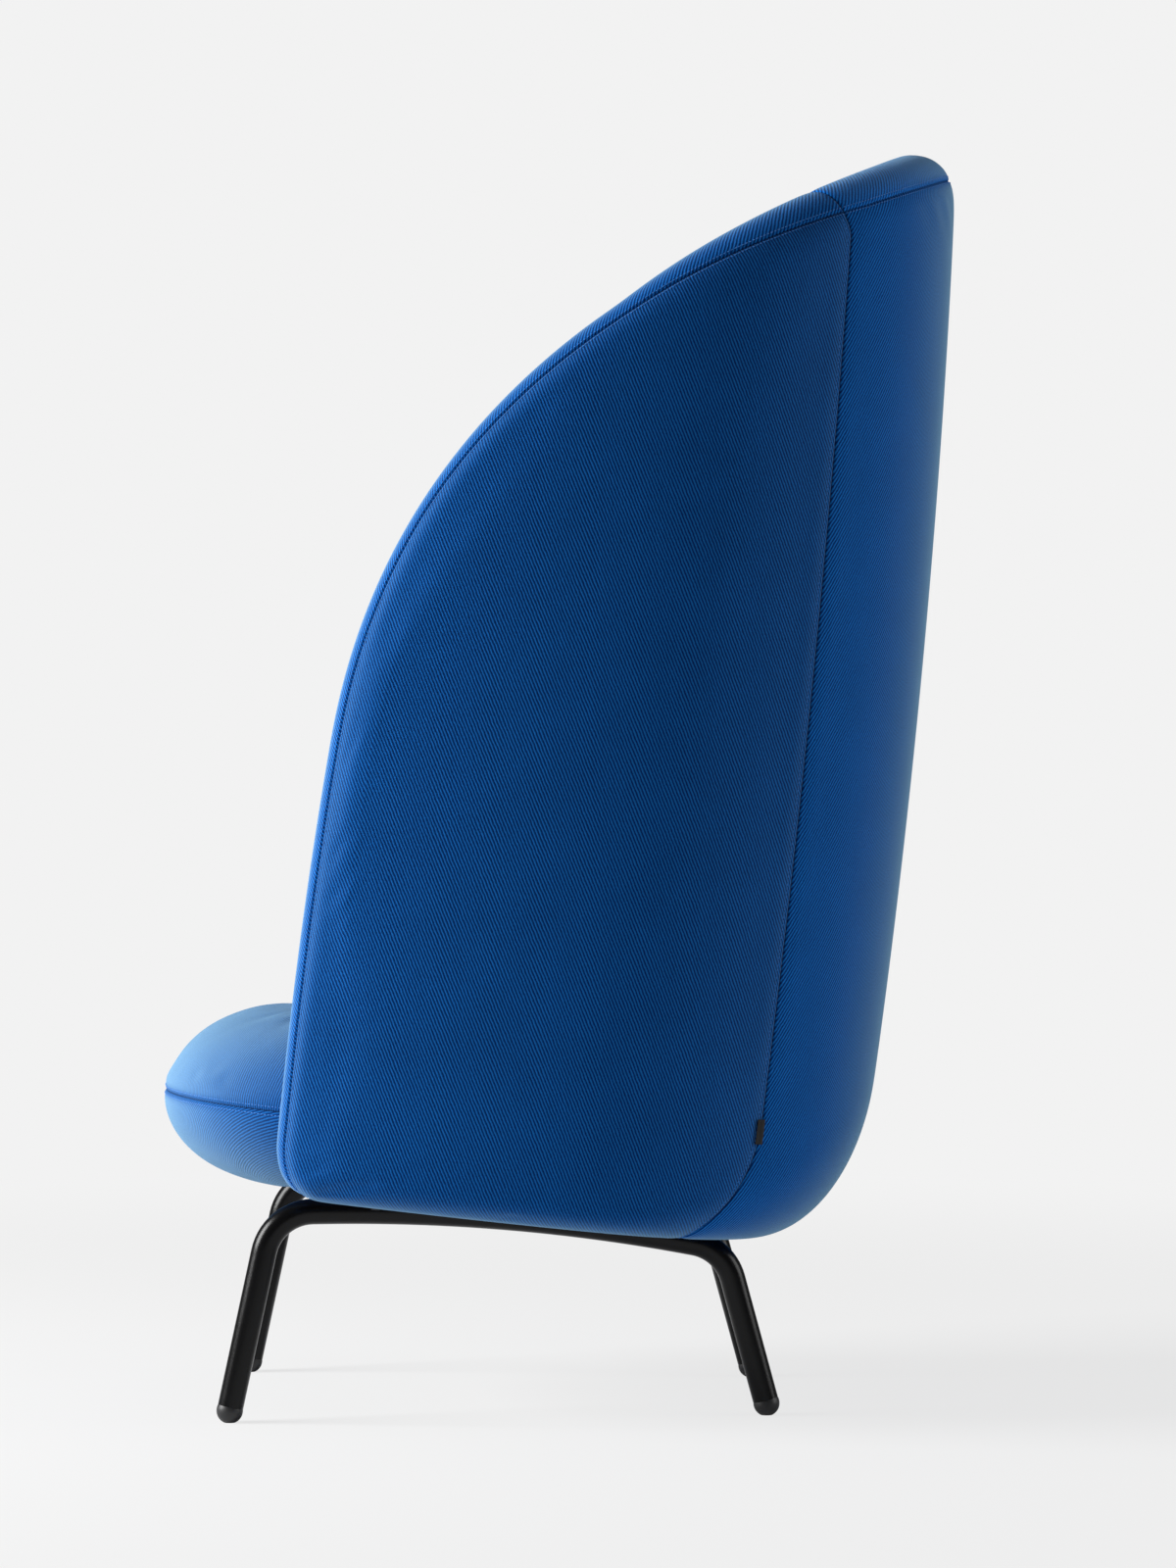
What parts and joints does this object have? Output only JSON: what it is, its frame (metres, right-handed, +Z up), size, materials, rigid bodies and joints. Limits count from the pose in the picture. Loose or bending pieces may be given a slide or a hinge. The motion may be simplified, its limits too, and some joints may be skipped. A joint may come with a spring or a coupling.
{
  "type": "easy chair",
  "caption": "High-backed easy chair: padded wing shell round a thick rounded seat, on a bent steel tube frame with plastic glides.",
  "frame": {"origin": "on the floor, under the middle of the chair's overall length and width", "axes": "+Z up, -Y towards the front of the seat, +X towards the sitter's left"},
  "size_m": [0.7596, 0.8871, 1.3988],
  "materials": {
    "shell_fabric": "blue wool-look twill, matt with a soft sheen",
    "lining_fabric": "the same twill on the inside of the shell",
    "seat_fabric": "the same twill, paler where it faces the light",
    "foam": "moulded polyurethane foam",
    "plywood": "birch plywood, unfinished",
    "frame_steel": "black powder coat, satin",
    "glide_plastic": "black polyamide",
    "zinc_steel": "bright zinc",
    "webbing": "black elastic webbing",
    "dust_cloth": "black non-woven cloth",
    "tab_fabric": "black woven tape"
  },
  "bodies": {
    "root": {"leg_frame_left": "frame_steel", "leg_frame_right": "frame_steel", "foot_glide_front_left": "glide_plastic", "foot_glide_front_right": "glide_plastic", "foot_glide_rear_left": "glide_plastic", "foot_glide_rear_right": "glide_plastic", "crossbar_front": "frame_steel", "crossbar_rear": "frame_steel", "frame_bolts": "zinc_steel", "tee_nuts": "zinc_steel", "seat_deck": "plywood", "webbing_lengthwise": "webbing", "webbing_crosswise": "webbing", "seat_pad": "foam", "seat_cover_upper": "seat_fabric", "seat_cover_lower": "seat_fabric", "side_rail_left": "plywood", "side_rail_right": "plywood", "rail_screws": "zinc_steel", "side_board_left": "plywood", "side_board_right": "plywood", "back_board": "plywood", "outer_pad": "foam", "inner_pad": "foam", "side_cover_left": "shell_fabric", "side_cover_right": "shell_fabric", "rear_cover": "shell_fabric", "wing_band_left": "shell_fabric", "wing_band_right": "shell_fabric", "crown_band": "shell_fabric", "inner_cover_left": "lining_fabric", "inner_cover_right": "lining_fabric", "inner_cover_back": "lining_fabric", "dust_cover": "dust_cloth", "label_tab": "tab_fabric"}
  },
  "joints": []
}
